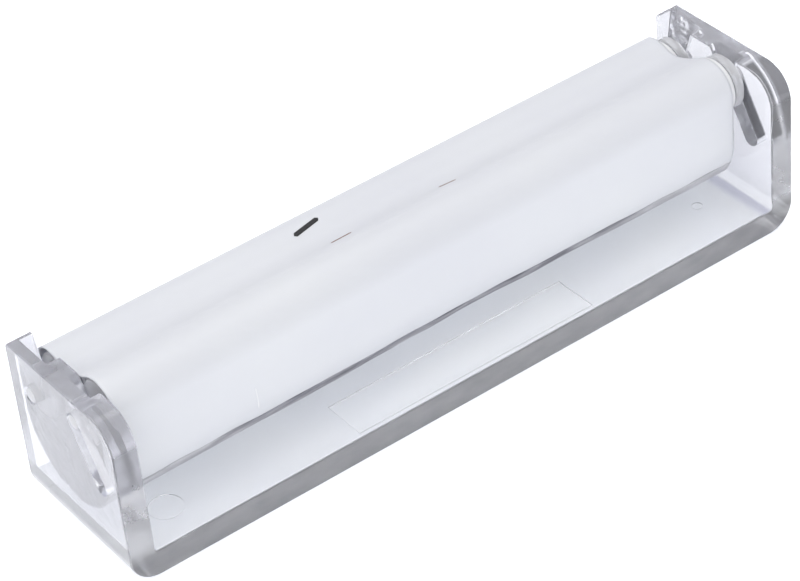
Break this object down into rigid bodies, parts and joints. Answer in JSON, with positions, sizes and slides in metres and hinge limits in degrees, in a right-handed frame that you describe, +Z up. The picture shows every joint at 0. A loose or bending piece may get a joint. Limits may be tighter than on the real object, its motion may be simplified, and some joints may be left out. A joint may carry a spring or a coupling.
{
  "type": "cigarette rolling machine",
  "caption": "Hand roller for cigarettes: clear cradle with end plates, rear roller on a fixed axis, front roller sliding in slanted slots, and a white vinyl apron looped round both.",
  "frame": {"origin": "middle of the footprint, on the surface the frame rests on", "axes": "+X along the rollers, +Y from the front face to the back, +Z up"},
  "size_m": [0.126, 0.027, 0.0297],
  "materials": {
    "clear_plastic": "clear, polished moulding",
    "white_roller": "satin",
    "clear_plug": "clear moulding, slightly hazy",
    "white_vinyl": "soft satin vinyl sheet"
  },
  "bodies": {
    "cradle": {"frame": "clear_plastic", "rear_plug_left": "clear_plug", "rear_plug_right": "clear_plug", "apron": "white_vinyl"},
    "front_plugs": {"front_plug_left": "clear_plug", "front_plug_right": "clear_plug"},
    "front_roller": {"front_roller_tube": "white_roller"},
    "rear_roller": {"rear_roller_tube": "white_roller"}
  },
  "joints": [
    {"name": "front_roller_slide", "type": "slide", "parent": "cradle", "child": "front_plugs", "axis": [0, -0.5057, -0.8627], "range_m": [0, 0.01], "deforming": ["apron"]},
    {"name": "rear_roller_spin", "type": "hinge", "parent": "cradle", "child": "rear_roller", "pos_m": [0, 0.0085, 0.02215], "axis": [1, 0, 0], "continuous": true},
    {"name": "front_roller_spin", "type": "hinge", "parent": "front_plugs", "child": "front_roller", "pos_m": [0, -0.0035, 0.02475], "axis": [1, 0, 0], "continuous": true}
  ],
  "couplings": [
    {"joint": "front_roller_spin", "follows": "rear_roller_spin", "ratio": 1}
  ]
}
